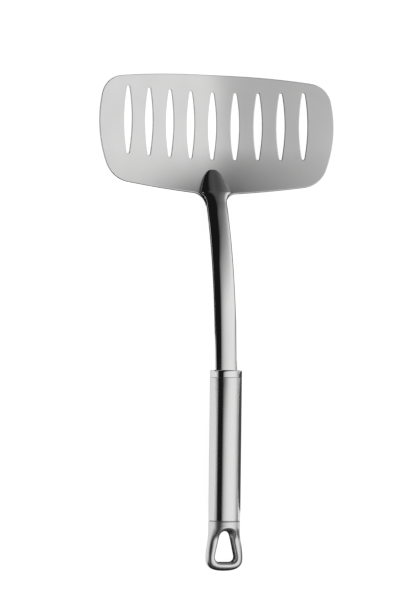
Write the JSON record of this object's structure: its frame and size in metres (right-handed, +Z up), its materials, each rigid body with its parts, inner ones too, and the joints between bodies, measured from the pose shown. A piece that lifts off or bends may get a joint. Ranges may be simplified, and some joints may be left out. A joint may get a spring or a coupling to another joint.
{
  "type": "fish spatula",
  "caption": "Wide slotted and gently bowed steel blade on a cranked neck, with a round hollow handle that ends in a flat loop with an eye for hanging.",
  "frame": {"origin": "middle of the footprint on the table, with the spatula at rest on the heel of its blade and the end of its loop", "axes": "+Z up, +Y from the handle to the tip of the blade, +X to the right as seen from the handle; the food side faces up"},
  "size_m": [0.156, 0.3183, 0.0314],
  "materials": {
    "blade_steel": "satin, with soft edges",
    "polished_steel": "polished to a mirror",
    "grip_steel": "brushed round the grip",
    "cap_steel": "satin",
    "inner_steel": "as turned, out of sight",
    "black_rubber": "matt, out of sight"
  },
  "bodies": {
    "root": {"blade": "blade_steel", "neck": "polished_steel", "ferrule": "polished_steel", "front_seal": "black_rubber", "handle_tube": "grip_steel", "rear_bush": "inner_steel", "tie_washer": "inner_steel", "tie_nut": "inner_steel", "cap_ring": "black_rubber", "end_cap": "cap_steel"}
  },
  "joints": []
}
